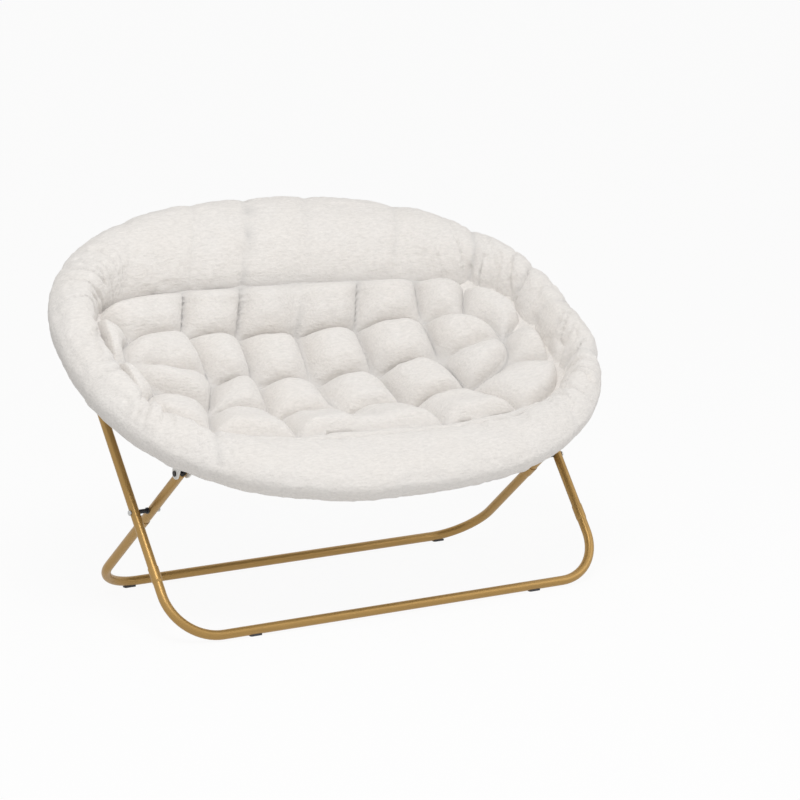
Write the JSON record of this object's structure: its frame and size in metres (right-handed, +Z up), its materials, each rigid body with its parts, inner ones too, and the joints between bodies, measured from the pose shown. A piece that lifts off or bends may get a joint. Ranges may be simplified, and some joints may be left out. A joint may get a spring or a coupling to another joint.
{
  "type": "folding saucer chair",
  "caption": "Wide double saucer chair: quilted plush bowl on an oval tube ring that folds on side hinges over two crossed tube leg frames.",
  "frame": {"origin": "on the floor under the middle of the saucer", "axes": "+X to the sitter's left along the seat, +Y from the front edge to the back edge, +Z up"},
  "size_m": [1.3554, 0.9067, 0.8721],
  "materials": {
    "gold_tube": "satin",
    "white_nylon": "satin",
    "black_nylon": "matte",
    "grey_glide": "matte",
    "zinc_steel": "satin",
    "dark_steel": "satin",
    "sling_cloth": "matte",
    "plush": "matte"
  },
  "bodies": {
    "front_frame": {"front_floor_bar": "gold_tube", "front_leg_left": "gold_tube", "front_leg_right": "gold_tube", "front_leg_plugs": "black_nylon", "crossing_bolts": "zinc_steel", "crossing_spacers": "black_nylon", "crossing_nuts": "zinc_steel", "front_glides": "grey_glide"},
    "rear_frame": {"rear_floor_bar": "gold_tube", "rear_leg_left": "gold_tube", "rear_leg_right": "gold_tube", "rear_leg_plugs": "black_nylon", "rear_glides": "grey_glide"},
    "ring_back": {"ring_back_tube": "gold_tube", "hinge_arm_outer_left": "dark_steel", "hinge_arm_outer_right": "dark_steel", "back_bracket_left": "white_nylon", "back_bracket_right": "white_nylon", "hinge_pins": "zinc_steel", "back_bracket_bolts": "zinc_steel", "back_bracket_nuts": "zinc_steel", "sling_back": "sling_cloth", "rim_roll_back": "plush", "seat_pad": "plush"},
    "ring_front": {"ring_front_tube": "gold_tube", "hinge_arm_inner_left": "dark_steel", "hinge_arm_inner_right": "dark_steel", "front_bracket_left": "white_nylon", "front_bracket_right": "white_nylon", "front_bracket_rivets": "dark_steel", "front_bracket_barrels": "gold_tube", "sling_front": "sling_cloth", "rim_roll_front": "plush"}
  },
  "joints": [
    {"name": "leg_fold", "type": "hinge", "parent": "front_frame", "child": "rear_frame", "pos_m": [0, -0.10381, 0.26409], "axis": [-1, 0, 0], "range_deg": [0, 58]},
    {"name": "ring_tilt", "type": "hinge", "parent": "front_frame", "child": "ring_back", "pos_m": [0, 0.23813, 0.69488], "axis": [1, 0, 0], "range_deg": [0, 20.1]},
    {"name": "ring_fold", "type": "hinge", "parent": "ring_back", "child": "ring_front", "pos_m": [0, -0.18033, 0.46553], "axis": [-1, 0, 0], "range_deg": [0, 159.02], "deforming": ["rim_roll_back", "rim_roll_front", "seat_pad"]}
  ],
  "couplings": [
    {"joint": "ring_tilt", "follows": "leg_fold", "ratio": 0.34562},
    {"joint": "ring_fold", "follows": "leg_fold", "ratio": 2.7408}
  ]
}
